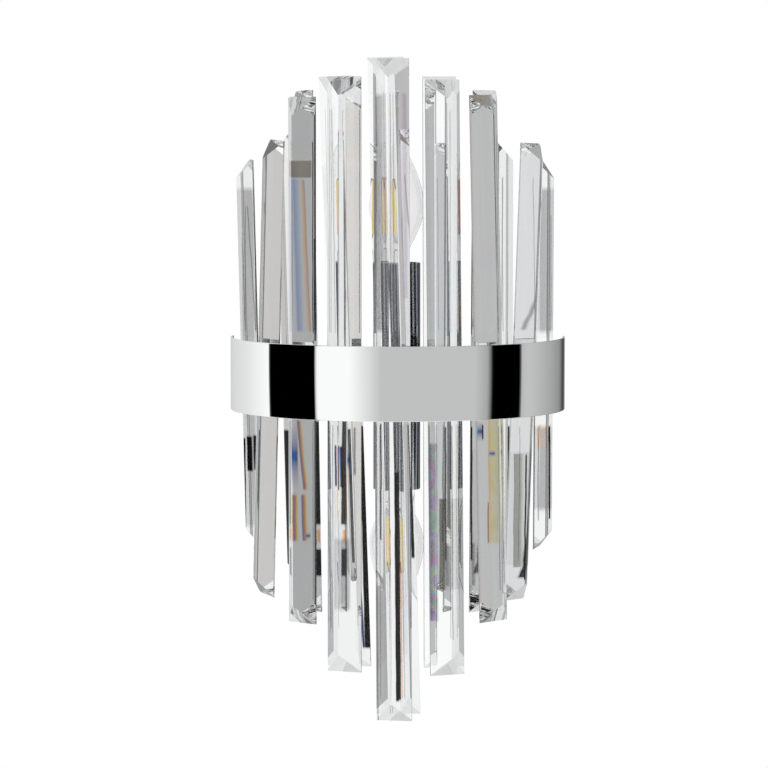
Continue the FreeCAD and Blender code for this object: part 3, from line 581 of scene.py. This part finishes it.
def metalFinish(name, colour, roughness, grain=0.0, grainScale=(1, 1, 1), bump=0.0, wear=0.06):
    material, paint, shader, where = newMaterial(name)
    look = metalLook
    cloud = paint.noise(where, look["cloudScale"], look["detail"])
    stretched = paint.node("VectorMath", {"operation": "MULTIPLY"}, {0: where, 1: grainScale})
    lines = paint.noise(stretched.outputs[0], look["lineScale"], look["detail"], look["lineRoughness"])
    dark = tuple(c * (1.0 - wear) for c in colour) + (1.0,)
    paint.feed(shader.inputs["Base Color"], paint.mix(cloud, dark, (*colour, 1.0)))
    paint.feed(shader.inputs["Roughness"], roughness + (cloud - 0.5) * roughness * 0.5 + lines * grain)
    shader.inputs["Metallic"].default_value = 1.0
    if bump:
        relief = paint.node("Bump", inputs={"Strength": bump, "Distance": look["relief"], "Height": lines})
        paint.feed(shader.inputs["Normal"], relief.outputs[0])
    return material


plasticLook = {"fineScale": 1400.0, "cloudScale": 90.0, "uneven": 0.12, "relief": 0.05 * mm}


def plasticFinish(name, colour, roughness, speckle=0.08, bump=0.15, glow=0.0):
    material, paint, shader, where = newMaterial(name)
    look = plasticLook
    fine = paint.noise(where, look["fineScale"])
    cloud = paint.noise(where, look["cloudScale"])
    dark = tuple(c * (1.0 - speckle) for c in colour) + (1.0,)
    tone = paint.mix(cloud, dark, (*colour, 1.0))
    paint.feed(shader.inputs["Base Color"], tone)
    paint.feed(shader.inputs["Roughness"], roughness + (fine - 0.5) * look["uneven"])
    relief = paint.node("Bump", inputs={"Strength": bump, "Distance": look["relief"], "Height": fine})
    paint.feed(shader.inputs["Normal"], relief.outputs[0])
    if glow:
        paint.feed(shader.inputs["Emission Color"], tone)
        shader.inputs["Emission Strength"].default_value = glow
    return material


def addMesh(name, points, faces, sharp=32.0):
    mesh = bpy.data.meshes.new(name)
    mesh.from_pydata([tuple(p) for p in points], [], faces)
    mesh.validate()
    mesh.shade_smooth()
    mesh.set_sharp_from_angle(angle=math.radians(sharp))
    piece = bpy.data.objects.new(name, mesh)
    scene.collection.objects.link(piece)
    return piece


def lathe(name, outline, axis, turns=96, sharp=32.0):
    # closed outline of (radius, height) turned round an upright axis at (x, y)
    points, faces, rings = [], [], []
    onAxis = 1e-7
    for radius, height in outline:
        if radius < onAxis:
            rings.append([len(points)])
            points.append((axis[0], axis[1], height))
        else:
            rings.append(list(range(len(points), len(points) + turns)))
            points += [(axis[0] + radius * math.cos(2 * math.pi * k / turns),
                        axis[1] + radius * math.sin(2 * math.pi * k / turns), height)
                       for k in range(turns)]
    for i, ring in enumerate(rings):
        after = rings[(i + 1) % len(rings)]
        if len(ring) == 1 and len(after) == 1:
            continue
        for k in range(turns):
            j = (k + 1) % turns
            quad = [ring[k % len(ring)], ring[j % len(ring)], after[j % len(after)], after[k % len(after)]]
            faces.append(tuple(v for n, v in enumerate(quad) if v not in quad[:n]))
    return addMesh(name, points, faces, sharp)


def rounded(outline, radius, steps=3):
    # outline with each corner turned into a small arc that takes at most 0.45 of a side
    most = 0.45
    count = len(outline)
    result = []
    for i, corner in enumerate(outline):
        here = Vector(corner)
        before = Vector(outline[i - 1]) - here
        after = Vector(outline[(i + 1) % count]) - here
        reach = min(radius, before.length * most, after.length * most)
        before.normalize()
        after.normalize()
        for k in range(steps + 1):
            t = k / steps
            p = here + before * (reach * (1 - t) ** 2) + after * (reach * t ** 2)
            result.append((p.x, p.y))
    return result


def smoothLine(points, steps):
    # curve through points, evenly eased
    last = len(points) - 1
    result = []
    for i in range(last):
        p0, p1, p2, p3 = (Vector(points[max(0, min(last, i + k))]) for k in (-1, 0, 1, 2))
        for k in range(steps):
            t = k / steps
            result.append(0.5 * (2 * p1 + (p2 - p0) * t + (2 * p0 - 5 * p1 + 4 * p2 - p3) * t * t
                                 + (3 * p1 - p0 - 3 * p2 + p3) * t ** 3))
    result.append(Vector(points[last]))
    return result


def dress(piece, material, body, node):
    piece.data.materials.clear()
    piece.data.materials.append(material)
    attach(piece, body)
    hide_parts(node)
    return piece


def uprightPiece(node):
    # radius, axis, and the two ends of an upright round piece of the CAD
    low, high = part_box(node)
    axis = ((low.x + high.x) / 2, (low.y + high.y) / 2)
    return (high.x - low.x) / 2, axis, low.z, high.z


bandLook = {
    "sheet": 1.2 * mm, "edge": 0.45 * mm, "edgeSteps": 4, "steps": 220, "sharp": 40.0,
    "colour": (0.955, 0.96, 0.965),
}


def makeBand(look, material):
    low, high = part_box("outer_band")
    radius = (high.x - low.x) / 2
    centreY = low.y + radius
    bore = radius - look["sheet"]
    corners = [(bore, low.z), (radius, low.z), (radius, high.z), (bore, high.z)]
    section = rounded(corners, look["edge"], look["edgeSteps"])
    points, faces = [], []
    count = len(section)
    for step in range(look["steps"] + 1):
        share = 2.0 * step / look["steps"] - 1.0
        for r, z in section:
            angle = share * (math.pi / 2 + math.asin((high.y - centreY) / r))
            points.append((r * math.sin(angle), centreY - r * math.cos(angle), z))
    for step in range(look["steps"]):
        for k in range(count):
            j = (k + 1) % count
            a, b = step * count, (step + 1) * count
            faces.append((a + k, a + j, b + j, b + k))
    faces.append(tuple(reversed(range(count))))
    faces.append(tuple(range(len(points) - count, len(points))))
    band = addMesh("polishedBand", points, faces, look["sharp"])
    return dress(band, material, "fixture", "outer_band")


sleeveLook = {
    "colour": (0.80, 0.85, 0.92), "wall": 0.8 * mm, "base": 1.2 * mm, "hole": 5.2 * mm, "edge": 0.35 * mm,
    # painted reflection: the stripes stand in for the studio mirrored in the polished tube
    "stripes": 6.0,             # repeats of the stripes in half a turn
    "waver": 0.5,
    "waverScale": 12.0,
    "roughness": 0.03,
    "cloudScale": 60.0,
    "cloud": 0.02,
    "stripe": [
        (0.0, grey(0.02)), (0.12, grey(0.03)), (0.2, grey(0.75)), (0.34, grey(0.9)), (0.42, grey(0.10)),
        (0.62, grey(0.05)), (0.70, grey(0.35)), (0.84, grey(0.45)), (0.92, grey(0.05)), (1.0, grey(0.02))],
}


def sleeveFinish(look, name, axis):
    # polished tube with upright light and dark stripes of painted reflection, which it keeps when seen through the
    # crystals
    material, paint, shader, where = newMaterial(name)
    parts = paint.node("SeparateXYZ", inputs={"Vector": where})
    across = paint.field(parts.outputs[0]) - axis[0]
    turn = across.math("ARCTAN2", paint.field(parts.outputs[1]) - axis[1]) * (1.0 / math.pi)
    place = turn * look["stripes"] + paint.noise(where, look["waverScale"], 1.0) * look["waver"]
    stripe = paint.ramp(place.math("FRACT"), look["stripe"])
    paint.feed(shader.inputs["Base Color"], paint.mix(1.0, stripe, (*look["colour"], 1.0), "MULTIPLY"))
    cloud = paint.noise(where, look["cloudScale"], 3.0)
    paint.feed(shader.inputs["Roughness"], look["roughness"] + cloud * look["cloud"])
    shader.inputs["Metallic"].default_value = 1.0
    return material


def makeSleeve(look, which):
    node = "sleeve_" + which
    radius, axis, bottom, top = uprightPiece(node)
    flip = 1 if which == "upper" else -1
    base, rim = (bottom, top) if flip > 0 else (top, bottom)
    bore = radius - look["wall"]
    floor = base + flip * look["base"]
    outline = [(look["hole"], base), (radius, base), (radius, rim), (bore, rim), (bore, floor),
               (look["hole"], floor)]
    if flip < 0:
        outline.reverse()
    sleeve = lathe("sleeveTube" + which.capitalize(), rounded(outline, look["edge"]), axis)
    material = sleeveFinish(look, "sleeveChrome" + which.capitalize(), axis)
    return dress(sleeve, material, "fixture", node)


lampLook = {
    "turns": 96,
    "steps": 4,
    "sharp": 60.0,
    "wall": 0.7 * mm,
    # outside of the glass: share of the widest radius, share of the height over the neck
    "shape": [(0.343, 0.0), (0.343, 0.069), (0.375, 0.115), (0.50, 0.185), (0.70, 0.275), (0.88, 0.365),
              (0.985, 0.45), (1.0, 0.50), (0.975, 0.56), (0.90, 0.645), (0.775, 0.735), (0.62, 0.82),
              (0.44, 0.90), (0.245, 0.965), (0.10, 0.994), (0.0, 1.0)],
}


def makeLampGlass(look, which, material):
    node = "bulb_%s_glass" % which
    radius, axis, bottom, top = uprightPiece(node)
    flip = 1 if which == "upper" else -1
    foot, tip = (bottom, top) if flip > 0 else (top, bottom)
    outer = smoothLine([(r * radius, h * abs(tip - foot)) for r, h in look["shape"]], look["steps"])
    inner = []
    for i, p in enumerate(outer):
        along = (outer[min(i + 1, len(outer) - 1)] - outer[max(i - 1, 0)]).normalized()
        q = p + Vector((-along.y, along.x)) * look["wall"]
        inner.append(Vector((max(q.x, 0.0), q.y)))
    inner[-1] = Vector((0.0, outer[-1].y - look["wall"]))
    outline = [(max(p.x, 0.0), foot + flip * p.y) for p in outer]
    outline += [(p.x, foot + flip * p.y) for p in reversed(inner)]
    outline[len(outer) - 1] = (0.0, tip)
    if flip < 0:
        outline.reverse()
    glass = lathe("lampGlass" + which.capitalize(), outline, axis, look["turns"], look["sharp"])
    return dress(glass, material, "bulb_" + which, node)


print("camera, studio and floor")
makeCamera(cameraLook)
makeStudio(studioLook)
makeFloor(floorLook)

print("finishes")
chrome = metalFinish("mirrorChrome", bandLook["colour"], 0.009, wear=0.01)
lampGlass = clearGlassFinish("lampGlass", 0.97)
stemGlass = clearGlassFinish("stemGlass", 0.93)
slotFinish = {
    "polished_chrome": chrome,
    "bulb_glass": lampGlass,
    "filament": plasticFinish("phosphor", (1.0, 0.74, 0.24), 0.45, speckle=0.10, bump=0.2, glow=0.55),
    "lead_wire": metalFinish("wire", (0.30, 0.27, 0.24), 0.35, 0.06),
    "cap_metal": metalFinish("nickelCap", (0.76, 0.74, 0.70), 0.20, 0.06),
    "holder_plastic": plasticFinish("holderPlastic", (0.035, 0.035, 0.036), 0.5),
    "brass": metalFinish("brass", (0.80, 0.62, 0.30), 0.22, 0.08, wear=0.15),
    "plated_brass": metalFinish("platedBrass", (0.80, 0.79, 0.76), 0.14, 0.04),
    "nylon": plasticFinish("nylon", (0.86, 0.86, 0.83), 0.45),
    "lead_sheath": plasticFinish("leadSheath", (0.42, 0.17, 0.06), 0.4),
    "zinc_steel": metalFinish("zincPlate", (0.74, 0.76, 0.80), 0.24, 0.08, bump=0.08, wear=0.14),
    "housing_steel": metalFinish("platedSheet", (0.80, 0.81, 0.82), 0.16, 0.06, (1, 1, 14), 0.05),
}
facings = {joint["child"]: tuple(joint["axis"]) for joint in frame["joints"]}
for part in frame["record"]["subparts"]:
    node = part["node"]
    if part["material_slot"] == "crystal":
        finish = crystalFinish(crystalLook, paintedRefractionLook, node, facings[node])
    elif node.endswith("_stem"):
        finish = stemGlass
    else:
        finish = slotFinish[part["material_slot"]]
    mesh = frame["nodes"][node].data
    mesh.materials.clear()
    mesh.materials.append(finish)

print("band, sleeves, lamps")
makeBand(bandLook, chrome)
for which in ("upper", "lower"):
    makeSleeve(sleeveLook, which)
    makeLampGlass(lampLook, which, lampGlass)

scene.cycles.max_bounces = 64
scene.cycles.transmission_bounces = 64
scene.cycles.glossy_bounces = 48
scene.view_settings.view_transform = "Standard"

print("done")
